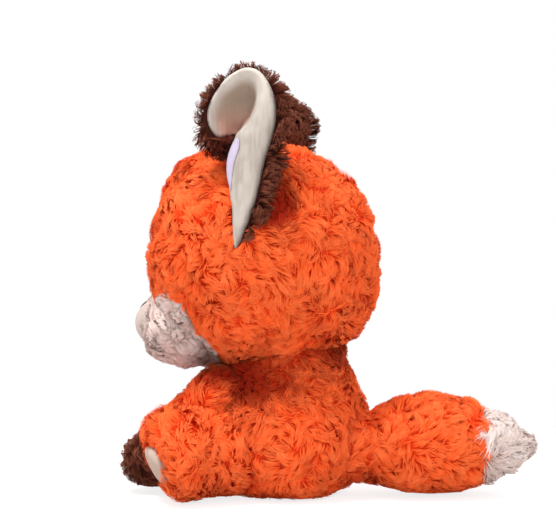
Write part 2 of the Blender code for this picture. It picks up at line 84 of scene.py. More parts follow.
def linear(red, green, blue):
    """A colour given as it shows, from 0 to 255, as the light it reflects."""
    shown = np.array([red, green, blue]) / FULL_COLOUR
    low = shown / DARK_SLOPE
    high = ((shown + CURVE_OFFSET) / (1 + CURVE_OFFSET)) ** CURVE_POWER
    return (*np.where(shown <= DARK_LIMIT, low, high), 1.0)


def grey(light):
    return light, light, light, 1


def unit(vectors):
    """The vectors' directions, each of length 1."""
    lengths = np.linalg.norm(vectors, axis=-1, keepdims=True)
    return vectors / np.maximum(lengths, TINY)


def across(vectors, normals):
    """The part of each vector that lies in the surface."""
    return vectors - normals * (vectors * normals).sum(1, keepdims=True)


def vertex_places(mesh):
    return np.array([vert.co for vert in mesh.vertices])


def vertex_normals(mesh):
    return np.array([vert.normal for vert in mesh.vertices])


class Surface:
    """Triangles that strands grow from, with a smooth normal at each corner."""

    def __init__(self, obj):
        depsgraph = bpy.context.evaluated_depsgraph_get()
        mesh = obj.evaluated_get(depsgraph).to_mesh()
        mesh.calc_loop_triangles()
        self.points = vertex_places(mesh)
        self.normals = vertex_normals(mesh)
        self.triangles = np.array([tri.vertices for tri in mesh.loop_triangles])
        corners = self.points[self.triangles]
        crossed = np.cross(corners[:, 1] - corners[:, 0], corners[:, 2] - corners[:, 0])
        self.areas = np.linalg.norm(crossed, axis=1) / 2
        self.tree = BVHTree.FromPolygons(self.points.tolist(), self.triangles.tolist())

    def scatter(self, count):
        """Evenly spread random places on the surface, and the normals there."""
        chosen = chance.choice(len(self.areas), count, p=self.areas / self.areas.sum())
        weights = np.sort(chance.random((count, 2)), axis=1)
        shares = np.stack((weights[:, 0], weights[:, 1] - weights[:, 0], 1 - weights[:, 1]), 1)
        corners = self.triangles[chosen]
        places = (self.points[corners] * shares[:, :, None]).sum(1)
        normals = (self.normals[corners] * shares[:, :, None]).sum(1)
        return places, unit(normals)

    def covered(self, places):
        """Which places are inside the surface, or so close that what is there is hidden."""
        low, high = self.points.min(0) - HIDDEN_DEPTH, self.points.max(0) + HIDDEN_DEPTH
        mask = ((places > low) & (places < high)).all(1)
        mask[mask] = [self.covers(place) for place in places[mask]]
        return mask

    def covers(self, place):
        start = Vector(place)
        if self.tree.find_nearest(start, HIDDEN_DEPTH)[0] is not None:
            return True
        inside = False
        hit = self.tree.ray_cast(start, PROBE)[0]
        while hit is not None:
            inside = not inside
            hit = self.tree.ray_cast(hit + PROBE * PROBE_STEP, PROBE)[0]
        return inside


class Pile:
    """How a coat's strands look: lengths in metres, density in strands to the square metre.

    The spacing is that of the tufts. Droop, curl, gather, swirl and rounding are shares, and
    the bias is the direction in which the fur lies on the whole.
    """

    def __init__(self, length, height, spacing=0.0092, density=1.3e6, width=0.00058, curl=0.6,
                 gather=0.5, droop=0.5, swirl=1.0, rounding=0.5, bias=(0, 0.15, -0.75)):
        self.length = length
        self.height = height
        self.spacing = spacing
        self.density = density
        self.width = width
        self.curl = curl
        self.gather = gather
        self.droop = droop
        self.swirl = swirl
        self.rounding = rounding
        self.bias = np.array(bias)


SWIRL_LENGTH = 0.034
SWIRL_AXES = np.array([
    (0.61, 0.37, -0.70), (-0.42, 0.83, 0.36), (0.15, -0.55, 0.82), (0.77, -0.61, 0.19),
])
# Two waves for each direction: which axis, how fast and from what phase
SWIRL_WAVES = (
    ((0, 1.0, 0.0), (1, 0.63, 1.3)),
    ((2, 1.0, 2.1), (3, 0.57, 0.4)),
    ((1, 1.0, 0.7), (2, 0.71, 2.9)),
)


def swirls(places):
    """A direction field that turns smoothly over a few centimetres."""
    turns = places @ SWIRL_AXES.T * (2 * math.pi / SWIRL_LENGTH)
    return np.stack([
        sum(np.sin(turns[:, axis] * rate + phase) for axis, rate, phase in waves)
        for waves in SWIRL_WAVES
    ], axis=1)


LUMP_LENGTH = 0.020
LUMP_HEIGHT = 0.0012
LUMP_TILT = 0.2


def lumps(places, normals):
    """How far broad soft lumps lift the fur, and how they tilt it."""
    field = swirls(places * (SWIRL_LENGTH / LUMP_LENGTH))
    return (field * normals).sum(1, keepdims=True) * LUMP_HEIGHT, across(field, normals) * LUMP_TILT


def mirrored(forms):
    """The same forms on the fox's other side."""
    return tuple(((-x, y, z), *rest) for (x, y, z), *rest in forms)


def both_sides(*form):
    return form, *mirrored((form,))


# Where the fur or its padding stands higher, by node: centre, reach, height and the skin's share
LEG_SWELLS = (
    ((0.060, -0.070, 0.052), 0.013, 0.0065, 0.5),
    ((0.048, -0.034, 0.050), 0.014, 0.0050, 0.2),
)
SWELLS = {
    "head": (
        ((0, -0.056, 0.206), 0.027, 0.0090, 0.95),
        ((0, 0.046, 0.117), 0.026, 0.0058, 0.5),
        ((0, -0.080, 0.133), 0.012, 0.0080, 0.3),
        *both_sides((0.044, -0.058, 0.120), 0.013, 0.0060, 0.9),
        *both_sides((0.037, -0.073, 0.154), 0.009, 0.0025, 0.0),
    ),
    "muzzle_fur": both_sides((0.030, -0.086, 0.109), 0.012, -0.0070, 0.6),
    "torso": (
        ((0, 0.046, 0.060), 0.014, 0.0025, 0.5),
        *both_sides((0.046, -0.020, 0.055), 0.013, 0.0050, 0.4),
    ),
    "leg_left": LEG_SWELLS,
    "leg_right": mirrored(LEG_SWELLS),
}


def swell(node, places, skin):
    """The extra height at places on a node, of its skin or of the fur on it."""
    extra = np.zeros((len(places), 1))
    for centre, reach, height, share in SWELLS.get(node, ()):
        squares = ((places - np.array(centre)) ** 2).sum(1, keepdims=True)
        extra += np.exp(-squares / reach ** 2) * height * (share if skin else 1 - share)
    return extra


# Where shade is painted into the pile, by node: centre, reach and depth. It stands for the shade in the
# creases at the neck and shoulders, under the head and under the ears' cups, and for each ear's shadow on
# the head
ARM_PAINTED_SHADES = (((0.035, -0.030, 0.080), (0.050, 0.040, 0.020), 1.0),)
PAINTED_SHADES = {
    "torso": (
        ((0, -0.015, 0.074), (0.120, 0.060, 0.024), 1.0),
        ((0, 0.030, 0.093), (0.060, 0.050, 0.018), 0.95),
    ),
    "head": (
        ((0, -0.010, 0.080), (0.055, 0.065, 0.022), 1.0),
        *both_sides((0.058, 0.010, 0.184), (0.030, 0.017, 0.026), 1.0),
    ),
    "ear": both_sides((0.062, -0.020, 0.217), (0.030, 0.020, 0.012), 0.9),
    "arm_left": ARM_PAINTED_SHADES,
    "arm_right": mirrored(ARM_PAINTED_SHADES),
}
PAINTED_SHADE_SHARPNESS = 1.5


def painted_shade_depth(node, places):
    """How deep in painted shade places on a node lie, from 0 to 1."""
    depth = np.zeros(len(places))
    for centre, reach, most in PAINTED_SHADES.get(node, ()):
        squares = (((places - np.array(centre)) / np.array(reach)) ** 2).sum(1)
        depth = np.maximum(depth, most * np.exp(-squares ** PAINTED_SHADE_SHARPNESS))
    return depth


def thinned(places, normals, spacing):
    """Places no closer together than a spacing, each kept in the order it came."""
    cells = {}
    kept = []
    for index, place in enumerate(places):
        key = tuple(np.floor(place / spacing).astype(int))
        near = [
            other
            for x in (-1, 0, 1) for y in (-1, 0, 1) for z in (-1, 0, 1)
            for other in cells.get((key[0] + x, key[1] + y, key[2] + z), ())
        ]
        if all(np.sum((places[other] - place) ** 2) >= spacing ** 2 for other in near):
            cells.setdefault(key, []).append(index)
            kept.append(index)
    return places[kept], normals[kept]


def rooted(surface, pile, blockers, keep):
    """Roots on a surface, without those that other pieces cover."""
    places, normals = surface.scatter(int(surface.areas.sum() * pile.density))
    if keep is not None:
        mask = keep(places)
        places, normals = places[mask], normals[mask]
    for blocker in blockers:
        mask = ~blocker.covered(places)
        places, normals = places[mask], normals[mask]
    return places, normals


# Coats: every strand is a curved, tapered ribbon that belongs to a lock, and the lock to a tuft
STRAND_POINTS = 4
LOCK_SHARE = 0.45
UNEVEN_SHARE = 0.14
FLOOR_CLEARANCE = 0.0008
FLOOR_LIFT_SHARE = 0.6

# How far the lay and the length vary from tuft to tuft, lock to lock and strand to strand
TUFT_TURN = 0.8
LOCK_TURN = 0.32
STRAND_TURN = 0.09
LOCK_CURL_SHARE = 0.5
TUFT_GROWTH = (0.76, 1.2)
LOCK_GROWTH = (0.88, 1.1)
STRAND_LENGTH_SHARES = (0.8, 1.08)
STRAND_HEIGHT_SHARES = (0.86, 1.04)
CENTRE_HEIGHT_SHARE = 1.08
EDGE_DROP_SHARE = 0.35
LOOSE_SHARE = 0.28

# A strand's course: how soon it rises, droops, leans over, bends aside and gathers
RISE_RATE = 1.5
RISE_END = 1.35
DROOP_START_SHARE = 0.62
LEAN_SHARE = 0.6
LEAN_POWER = 1.3
BEND_SHARE = 0.4
BEND_POWER = 2
TUFT_GATHER_SHARE = 0.1
GATHER_POWER = 1.5

# Where a tuft's shading is centred, below it and along its lay
CENTRE_DEPTH_SHARE = 0.6
CENTRE_LAY_SHARE = 0.25

# Tones run from 0 to 1, and the lowest are only for painted shade
MIDDLE_TONE = 0.5
TUFT_TONES = 0.05
LOCK_TONES = 0.09
STRAND_TONES = 0.14
PAINTED_SHADE_TONE = 0.03
LOW_TONE = 0.25
HIGH_TONE = 0.98


def grouped(places, normals, spacing):
    """Centres of clumps at a spacing, their normals, and which clump each place is in."""
    centres, centre_normals = thinned(places, normals, spacing)
    tree = KDTree(len(centres))
    for index, centre in enumerate(centres):
        tree.insert(centre, index)
    tree.balance()
    uneven = places + chance.normal(0, spacing * UNEVEN_SHARE, places.shape)
    return centres, centre_normals, np.array([tree.find(place)[1] for place in uneven])


def strands(places, normals, pile, extra=0, depth=0):
    """The points of each strand, from its root to its tip, its shading normals and tone.
    Strands gather into locks, and locks into tufts that lie in one direction and curl."""
    spread = len(places)
    tufts, tuft_normals, tuft = grouped(places, normals, pile.spacing)
    locks, _, lock = grouped(places, normals, pile.spacing * LOCK_SHARE)
    tuft_count, lock_count = len(tufts), len(locks)

    lay = swirls(tufts) * pile.swirl + chance.normal(0, TUFT_TURN, (tuft_count, 3)) + pile.bias
    lay = unit(across(lay, tuft_normals))[tuft]
    lay = lay + chance.normal(0, LOCK_TURN, (lock_count, 3))[lock]
    lay = unit(across(lay + chance.normal(0, STRAND_TURN, (spread, 3)), normals))
    aside = np.cross(normals, lay)
    bend = chance.normal(0, pile.curl, (tuft_count, 1))[tuft]
    bend = bend + chance.normal(0, pile.curl * LOCK_CURL_SHARE, (lock_count, 1))[lock]

    to_tuft = across(tufts[tuft] - places, normals)
    to_lock = across(locks[lock] - places, normals)
    edge = np.linalg.norm(to_tuft, axis=1, keepdims=True) / pile.spacing
    grown = chance.uniform(*TUFT_GROWTH, (tuft_count, 1))[tuft]
    grown = grown * chance.uniform(*LOCK_GROWTH, (lock_count, 1))[lock]
    length = pile.length * grown * chance.uniform(*STRAND_LENGTH_SHARES, (spread, 1))
    height = pile.height * grown * (CENTRE_HEIGHT_SHARE - EDGE_DROP_SHARE * np.minimum(edge, 1) ** 2)
    height = height * chance.uniform(*STRAND_HEIGHT_SHARES, (spread, 1)) + extra
    lift, tilt = lumps(places, normals)

    steps = []
    for step in range(STRAND_POINTS):
        share = step / (STRAND_POINTS - 1)
        rise = math.sin(min(share * RISE_RATE, RISE_END) * math.pi / 2)
        rise -= pile.droop * max(share - DROOP_START_SHARE, 0)
        point = places + normals * (height * rise + lift * share)
        point = point + lay * length * LEAN_SHARE * share ** LEAN_POWER
        point = point + aside * length * bend * BEND_SHARE * share ** BEND_POWER
        point = point + to_tuft * TUFT_GATHER_SHARE * share + to_lock * pile.gather * share ** GATHER_POWER
        steps.append(point)
    points = np.stack(steps, axis=1)
    loose = chance.normal(0, pile.width * LOOSE_SHARE, points.shape)
    loose[:, 0] = 0
    points = points + loose
    lowest = np.maximum(places[:, 2:] * FLOOR_LIFT_SHARE, FLOOR_CLEARANCE)
    points[:, :, 2] = np.maximum(points[:, :, 2], lowest)

    middle = tufts[tuft] - tuft_normals[tuft] * pile.height * CENTRE_DEPTH_SHARE
    middle = middle + lay * pile.length * CENTRE_LAY_SHARE
    rounded = unit(points - middle[:, None])
    shading = unit((normals + tilt)[:, None] + rounded * pile.rounding)
    tones = MIDDLE_TONE + chance.normal(0, TUFT_TONES, tuft_count)[tuft]
    tones = tones + chance.normal(0, LOCK_TONES, lock_count)[lock]
    tones = np.clip(tones + chance.normal(0, STRAND_TONES, spread), LOW_TONE, HIGH_TONE)
    # Painted shade: a strand's tone sinks toward the darkest as deep as it lies in painted shade
    tones = tones - depth * (tones - PAINTED_SHADE_TONE)
    return points, shading, tones


# A ribbon's width from root to tip, and how it varies from strand to strand
WIDTH_SHARES = (1.0, 1.0, 0.72, 0.0)
STRAND_WIDTHS = (0.7, 1.2)
ROLL = 0.12

# The first texture coordinate is the tone, in steps, each with a narrow strip for the width
TONE_STEPS = 40
TONE_STRIP = 0.006


def add_object(name, mesh, *materials):
    obj = bpy.data.objects.new(name, mesh)
    bpy.context.scene.collection.objects.link(obj)
    mesh.materials.clear()
    for material in materials:
        mesh.materials.append(material)
    return obj


def finished(obj):
    """Applies an object's modifiers."""
    depsgraph = bpy.context.evaluated_depsgraph_get()
    mesh = bpy.data.meshes.new_from_object(obj.evaluated_get(depsgraph))
    mesh.name = obj.name
    obj.modifiers.clear()
    obj.data = mesh
    mesh.shade_smooth()
    return obj


def ribbons(name, points, shading, tones, width, material):
    """One mesh of tapered ribbons, each with its flat side turned mostly outward."""
    spread, steps = points.shape[:2]
    along = unit(np.gradient(points, axis=1))
    flat = unit(np.cross(along, shading))
    roll = chance.normal(0, ROLL, (spread, 1, 1))
    flat = flat * np.cos(roll) + np.cross(along, flat) * np.sin(roll)
    widths = width * chance.uniform(*STRAND_WIDTHS, (spread, 1)) * np.array(WIDTH_SHARES)
    reach = flat * widths[:, :, None] / 2

    pairs = np.stack((points - reach, points + reach), axis=2)[:, :-1]
    tips = points[:, -1:, :]
    vertices = np.concatenate((pairs.reshape(spread, -1, 3), tips), axis=1)
    normals = np.repeat(shading, 2, axis=1)[:, :-1]
    per_strand = vertices.shape[1]

    pattern = []
    for step in range(steps - 2):
        low = 2 * step
        pattern += [(low, low + 1, low + 3), (low, low + 3, low + 2)]
    pattern.append((per_strand - 3, per_strand - 2, per_strand - 1))
    starts = np.arange(spread)[:, None, None] * per_strand
    triangles = (starts + np.array(pattern)[None]).reshape(-1, 3)

    mesh = bpy.data.meshes.new(name)
    mesh.from_pydata(vertices.reshape(-1, 3), [], triangles)
    mesh.shade_smooth()
    mesh.normals_split_custom_set_from_vertices(normals.reshape(-1, 3))

    tone = (np.floor(tones * TONE_STEPS) + 1 / 2) / TONE_STEPS
    sideways = np.array([-TONE_STRIP, TONE_STRIP] * (steps - 1) + [0])
    lengthways = np.append(np.repeat(np.arange(steps - 1), 2), steps - 1) / (steps - 1)
    uv = np.stack(np.broadcast_arrays(tone[:, None] + sideways, lengthways[None]), axis=2)
    uv = uv.reshape(-1, 2)[triangles.ravel()]
    for layer in ("FurMap", "OFBake"):
        mesh.uv_layers.new(name=layer).data.foreach_set("uv", uv.ravel())
    return add_object(name, mesh, material)


class Nodes:
    """A small helper that adds nodes to a tree and joins them."""

    def __init__(self, tree):
        self.tree = tree

    def add(self, kind, values=(), **settings):
        node = self.tree.nodes.new(kind)
        for setting, value in settings.items():
            setattr(node, setting, value)
        for socket, value in dict(values).items():
            self.feed(node, socket, value)
        return node

    def feed(self, node, socket, value):
        """Sets a socket, or joins it to another node's output."""
        if isinstance(value, bpy.types.NodeSocket):
            self.tree.links.new(value, node.inputs[socket])
        elif isinstance(value, bpy.types.Node):
            self.tree.links.new(value.outputs[0], node.inputs[socket])
        else:
            node.inputs[socket].default_value = value

    def noise(self, place, scale, detail=2.0):
        return self.add("ShaderNodeTexNoise", {"Vector": place, "Scale": scale, "Detail": detail}).outputs[0]

    def seen(self):
        """1 for what the camera sees, also through something clear, and else 0."""
        rays = self.add("ShaderNodeLightPath")
        direct, through = rays.outputs["Is Camera Ray"], rays.outputs["Is Transmission Ray"]
        return self.add("ShaderNodeMath", {0: direct, 1: through}, operation="MAXIMUM")

    def ramp(self, factor, *stops):
        node = self.add("ShaderNodeValToRGB", {"Fac": factor})
        while len(node.color_ramp.elements) < len(stops):
            node.color_ramp.elements.new(0.5)
        for element, (place, colour) in zip(node.color_ramp.elements, stops):
            element.position = place
            element.color = colour
        return node

    def mix(self, factor, first, second, blend="MIX"):
        node = self.add("ShaderNodeMix", data_type="RGBA", blend_type=blend)
        self.feed(node, "Factor", factor)
        self.feed(node, 6, first)
        self.feed(node, 7, second)
        return node.outputs[2]


class Shader(Nodes):
    """The nodes of a new material."""

    def __init__(self, name):
        self.material = bpy.data.materials.new(name)
        self.material.use_nodes = True
        super().__init__(self.material.node_tree)
        self.surface = self.tree.nodes["Principled BSDF"]

    def finish(self, **values):
        for socket, value in values.items():
            self.feed(self.surface, socket.replace("_", " "), value)
        return self.material


# Where the colours between root and tip, and between a dark and a bright tone, are reached
FUR_MIDDLE_SHARE = 0.45
PLAIN_TONE = 0.55
BRIGHT_TONE = 0.9


def fur_material(name, root, middle, tip, deep, bright):
    """Strands darker at the root as painted shade deep in the pile and paler at the tip as painted light,
    each with its own tone between two colours, and darkest where painted shade lies.
    """
    shader = Shader(name)
    place = shader.add("ShaderNodeUVMap", uv_map="FurMap")
    parts = shader.add("ShaderNodeSeparateXYZ", {"Vector": place})
    along = shader.ramp(parts.outputs[1], (0, root), (FUR_MIDDLE_SHARE, middle), (1, tip))
    toned = shader.ramp(
        parts.outputs[0], (PAINTED_SHADE_TONE, PAINTED_SHADE_COLOUR), (LOW_TONE, deep), (PLAIN_TONE, grey(1)),
        (BRIGHT_TONE, bright)
    )
    colour = shader.mix(1.0, along.outputs[0], toned.outputs[0], "MULTIPLY")
    shader.finish(
        Base_Color=colour, Roughness=0.8, Specular_IOR_Level=0.05, Sheen_Weight=FUR_SHEEN,
        Sheen_Roughness=0.5, Sheen_Tint=tip,
    )
    through = shader.add("ShaderNodeBsdfTranslucent", {"Color": colour})
    both = shader.add("ShaderNodeMixShader", {0: FUR_TRANSLUCENCY, 1: shader.surface, 2: through})
    shader.feed(shader.tree.nodes["Material Output"], "Surface", both)
    return shader.material


# The near ear's lining, seen from the side: its edge as (y, z), and its form as (y, z, x).
# The cup is above, with a lobe at its front; the band tapers to a tip below.
LINING_EDGE = (
    (-0.0258, 0.2235), (-0.0300, 0.2275), (-0.0325, 0.2350), (-0.0320, 0.2420), (-0.0285, 0.2500),
    (-0.0230, 0.2570), (-0.0160, 0.2625), (-0.0078, 0.2655), (0.0000, 0.2635), (0.0060, 0.2565),
    (0.0095, 0.2480), (0.0108, 0.2400), (0.0102, 0.2305), (0.0080, 0.2210), (0.0047, 0.2090),
    (0.0020, 0.1960), (-0.0009, 0.1830), (-0.0045, 0.1710), (-0.0078, 0.1630), (-0.0113, 0.1557),
    (-0.0134, 0.1600), (-0.0141, 0.1690), (-0.0147, 0.1790), (-0.0165, 0.1880), (-0.0179, 0.1970),
    (-0.0188, 0.2070), (-0.0186, 0.2130), (-0.0172, 0.2200), (-0.0160, 0.2245), (-0.0185, 0.2262),
    (-0.0220, 0.2250),
)
LINING_FORM = (
    (-0.0140, 0.2620, 0.0645), (-0.0078, 0.2640, 0.0650), (0.0000, 0.2620, 0.0650),
    (-0.0250, 0.2550, 0.0640), (-0.0200, 0.2550, 0.0630), (-0.0130, 0.2550, 0.0585),
    (-0.0060, 0.2540, 0.0580), (-0.0010, 0.2520, 0.0620), (0.0030, 0.2540, 0.0650),
    (0.0070, 0.2530, 0.0650), (-0.0310, 0.2450, 0.0645), (-0.0275, 0.2450, 0.0625),
    (-0.0240, 0.2450, 0.0585), (-0.0180, 0.2450, 0.0525), (-0.0120, 0.2460, 0.0505),
    (-0.0060, 0.2460, 0.0530), (-0.0030, 0.2450, 0.0590), (0.0010, 0.2450, 0.0650),
    (0.0060, 0.2450, 0.0660), (0.0100, 0.2450, 0.0640), (-0.0320, 0.2360, 0.0640),
    (-0.0285, 0.2360, 0.0615), (-0.0240, 0.2360, 0.0565), (-0.0190, 0.2360, 0.0520),
    (-0.0130, 0.2370, 0.0505), (-0.0080, 0.2370, 0.0540), (-0.0055, 0.2365, 0.0600),
    (-0.0020, 0.2360, 0.0655), (0.0040, 0.2360, 0.0670), (0.0100, 0.2360, 0.0650),
    (-0.0305, 0.2300, 0.0635), (-0.0270, 0.2300, 0.0610), (-0.0230, 0.2300, 0.0570),
    (-0.0195, 0.2300, 0.0520), (-0.0160, 0.2305, 0.0500), (-0.0125, 0.2300, 0.0560),
    (-0.0105, 0.2295, 0.0620), (-0.0070, 0.2290, 0.0655), (0.0000, 0.2290, 0.0675),
    (0.0060, 0.2290, 0.0675), (0.0100, 0.2290, 0.0650), (-0.0265, 0.2245, 0.0615),
    (-0.0225, 0.2260, 0.0580), (-0.0190, 0.2270, 0.0525), (-0.0160, 0.2265, 0.0560),
    (-0.0140, 0.2260, 0.0615), (-0.0165, 0.2190, 0.0645), (-0.0120, 0.2190, 0.0670),
    (-0.0060, 0.2190, 0.0680), (0.0010, 0.2190, 0.0685), (0.0070, 0.2190, 0.0665),
    (-0.0185, 0.2090, 0.0665), (-0.0140, 0.2090, 0.0680), (-0.0105, 0.2090, 0.0693),
    (-0.0075, 0.2090, 0.0684), (-0.0030, 0.2090, 0.0696), (0.0020, 0.2090, 0.0690),
    (0.0047, 0.2090, 0.0675), (-0.0180, 0.1960, 0.0680), (-0.0135, 0.1960, 0.0700),
    (-0.0100, 0.1960, 0.0690), (-0.0070, 0.1960, 0.0706), (-0.0020, 0.1960, 0.0705),
    (0.0020, 0.1960, 0.0690), (-0.0152, 0.1830, 0.0705), (-0.0110, 0.1830, 0.0720),
    (-0.0075, 0.1830, 0.0713), (-0.0040, 0.1830, 0.0722), (-0.0010, 0.1830, 0.0710),
    (-0.0142, 0.1700, 0.0725), (-0.0105, 0.1700, 0.0740), (-0.0070, 0.1700, 0.0740),
    (-0.0050, 0.1700, 0.0730), (-0.0130, 0.1580, 0.0740), (-0.0110, 0.1580, 0.0745),
    (-0.0095, 0.1590, 0.0740),
)
BACK_EDGE = (
    (-0.0340, 0.2190), (-0.0374, 0.2330), (-0.0320, 0.2495), (-0.0215, 0.2595), (-0.0040, 0.2635),
    (0.0080, 0.2560), (0.0144, 0.2440), (0.0123, 0.2250), (0.0110, 0.2090), (0.0080, 0.1970),
    (0.0025, 0.1810), (-0.0025, 0.1670), (-0.0105, 0.1575), (-0.0118, 0.1640), (-0.0128, 0.1790),
    (-0.0150, 0.1900), (-0.0168, 0.2030), (-0.0200, 0.2120), (-0.0270, 0.2150),
)
TAG_EDGE = (
    (-0.0115, 0.2229), (-0.0144, 0.2213), (-0.0169, 0.2165), (-0.0186, 0.2084), (-0.0182, 0.2004),
    (-0.0166, 0.1948), (-0.0153, 0.1916), (-0.0144, 0.2004), (-0.0136, 0.2068), (-0.0111, 0.2149),
    (-0.0104, 0.2189),
)
SHEET_CELL = 0.0012
OUTLINE_STEP = 0.0024
RIM_GAP_SHARE = 0.6
JOIN_DISTANCE = 1e-7
RIM_ROUND = 0.0026
LINING_THICKNESS = 0.0012
BACK_BEHIND = 0.0026
BACK_THICKNESS = 0.0060
BARE_SHARE = 0.6
TAG_PROUD = 0.0009
TAG_THICKNESS = 0.0004
FAR_EAR_FOLD = -0.0120
FAR_EAR_SHARE = 0.52
FAR_EAR_BASE = 0.214
FAR_EAR_HEIGHT_SHARE = 0.84
LINING_CLEARANCE = -0.0002


def closed_curve(corners, spacing):
    """A smooth closed line through its corners, with points at about a spacing."""
    corners = np.array(corners)
    before, after = np.roll(corners, 1, 0), np.roll(corners, -1, 0)
    beyond = np.roll(corners, -2, 0)
    points = []
    for first, start, end, last in zip(before, corners, after, beyond):
        count = max(2, round(np.linalg.norm(end - start) / spacing))
        for share in np.arange(count) / count:
            slope = (end - first) / 2, (last - start) / 2
            square, cube = share ** 2, share ** 3
            points.append(
                start * (2 * cube - 3 * square + 1) + slope[0] * (cube - 2 * square + share)
                + end * (3 * square - 2 * cube) + slope[1] * (cube - square)
            )
    return np.array(points)


def within(outline, places):
    """Which places lie inside a closed outline."""
    inside = np.zeros(len(places), bool)
    for start, end in zip(outline, np.roll(outline, -1, 0)):
        spans = (start[1] > places[:, 1]) != (end[1] > places[:, 1])
        rise = end[1] - start[1] if end[1] != start[1] else 1
        crossing = start[0] + (places[:, 1] - start[1]) / rise * (end[0] - start[0])
        inside ^= spans & (places[:, 0] < crossing)
    return inside


def edge_distance(outline, places):
    """The distance from each place to a closed outline."""
    nearest = np.full(len(places), np.inf)
    for start, end in zip(outline, np.roll(outline, -1, 0)):
        side = end - start
        share = np.clip((places - start) @ side / max(side @ side, TINY), 0, 1)
        gaps = np.linalg.norm(places - start - share[:, None] * side, axis=1)
        nearest = np.minimum(nearest, gaps)
    return nearest


def bending(first, second):
    squares = ((first[:, None] - second[None]) ** 2).sum(2)
    return squares * np.log(np.maximum(squares, 1e-14))


def fitted(form, places):
    """Values at places of the smoothest surface through a few known ones."""
    form = np.array(form)
    known, values = form[:, :2], form[:, 2]
    flat = np.column_stack((np.ones(len(known)), known))
    matrix = np.block([[bending(known, known), flat], [flat.T, np.zeros((3, 3))]])
    weights = np.linalg.solve(matrix, np.concatenate((values, np.zeros(3))))
    bent = bending(places, known) @ weights[:len(known)]
    return bent + np.column_stack((np.ones(len(places)), places)) @ weights[len(known):]


def flat_mesh(outline):
    """Places and triangles that fill an outline evenly."""
    low, high = outline.min(0), outline.max(0)
    columns = np.arange(low[0], high[0], SHEET_CELL)
    rows = np.arange(low[1], high[1], SHEET_CELL * math.sqrt(0.75))
    grid = np.array([
        (column + (index % 2) * SHEET_CELL / 2, row) for index, row in enumerate(rows) for column in columns
    ])
    grid = grid[within(outline, grid)]
    grid = grid[edge_distance(outline, grid) > SHEET_CELL * RIM_GAP_SHARE]
    places = [Vector(place) for place in np.concatenate((outline, grid))]
    count = len(outline)
    rim = [(index, (index + 1) % count) for index in range(count)]
    filled = delaunay_2d_cdt(places, rim, [], 1, JOIN_DISTANCE)
    return np.array([tuple(place) for place in filled[0]]), filled[2]


def far_side(places):
    """The far ear is folded closer: what lies behind its fold line is drawn forward."""
    fold, base = FAR_EAR_FOLD, FAR_EAR_BASE
    _, y, z = places.T
    places[:, 1] = np.where(y > fold, fold + (y - fold) * FAR_EAR_SHARE, y)
    places[:, 2] = np.where(z > base, base + (z - base) * FAR_EAR_HEIGHT_SHARE, z)
    return places


def ear_sheet(name, side, edge, offset, rounding, thickness, material):
    """A sheet of the ear, on the form that its lining has, with its rim turned back."""
    outline = closed_curve(edge, SHEET_CELL)
    flat, triangles = flat_mesh(outline)
    inward = np.minimum(edge_distance(outline, flat), rounding)
    drop = rounding - np.sqrt(np.maximum(rounding ** 2 - (rounding - inward) ** 2, 0))
    out = fitted(LINING_FORM, flat) + offset - drop
    places = np.column_stack((out, flat))
    if side < 0:
        places = far_side(places)
        places[:, 0] *= -1
        triangles = [tuple(reversed(triangle)) for triangle in triangles]
    mesh = bpy.data.meshes.new(name)
    mesh.from_pydata(places.tolist(), [], triangles)
    obj = add_object(name, mesh, material)
    facing = sum(polygon.normal.x * polygon.area for polygon in mesh.polygons)
    if facing * side < 0:
        mesh.flip_normals()
    thick = obj.modifiers.new("Thick", "SOLIDIFY")
    thick.thickness = thickness
    thick.offset = -1
    return obj


# Orange, brown and cream fur, as they show in the photograph's light
# Each fur runs from a darker root, painted shade deep in the pile, to a paler tip, painted light
ORANGE_ROOT = linear(240, 66, 28)
ORANGE_MIDDLE = linear(255, 106, 48)
ORANGE_TIP = linear(255, 142, 82)
BROWN_ROOT = linear(38, 17, 12)
BROWN_MIDDLE = linear(92, 45, 34)
BROWN_TIP = linear(156, 98, 76)
CREAM_ROOT = linear(218, 206, 201)
CREAM_MIDDLE = linear(231, 221, 217)
CREAM_TIP = linear(237, 230, 227)
MUZZLE_ROOT = linear(224, 205, 199)
MUZZLE_MIDDLE = linear(238, 223, 218)
MUZZLE_TIP = linear(241, 229, 225)

LINING_COLOUR = linear(192, 190, 183)
LINING_SHADE = linear(184, 181, 173)
BAND_COLOUR = linear(168, 164, 157)
BAND_SHADE = linear(156, 151, 143)
# Painted shade in the ear's cup, at its top and, with a pinkish painted bounce of the orange fur, low down;
# and a painted shadow at its lower rear, between these heights and these places from front to back
CUP_SHADE_UPPER = linear(150, 136, 122)
CUP_SHADE_AND_BOUNCE_LOWER = linear(174, 132, 119)
CUP_SHADOW = linear(116, 80, 68)
CUP_SHADOW_TOP = 0.2350
CUP_SHADOW_LOW = 0.2270
CUP_SHADOW_FRONT = -0.0200
CUP_SHADOW_BACK = -0.0130
CUP_RIM = 0.0636
CUP_DEPTH = 0.0570
CUP_TOP = 0.2450
CUP_LOW = 0.2280
BAND_TOP = 0.2560
BAND_LOW = 0.2300
WRINKLE_SHARES = (1.0, 1.0, 0.12)
FUR_TRANSLUCENCY = 0.2
FUR_SHEEN = 0.5
# Painted shade: the fur's colour is multiplied by this at its deepest painted shade
PAINTED_SHADE_COLOUR = (0.30, 0.06, 0.10, 1)
DEEP = (0.93, 0.84, 0.80, 1)
BRIGHT = (1.06, 1.16, 1.2, 1)


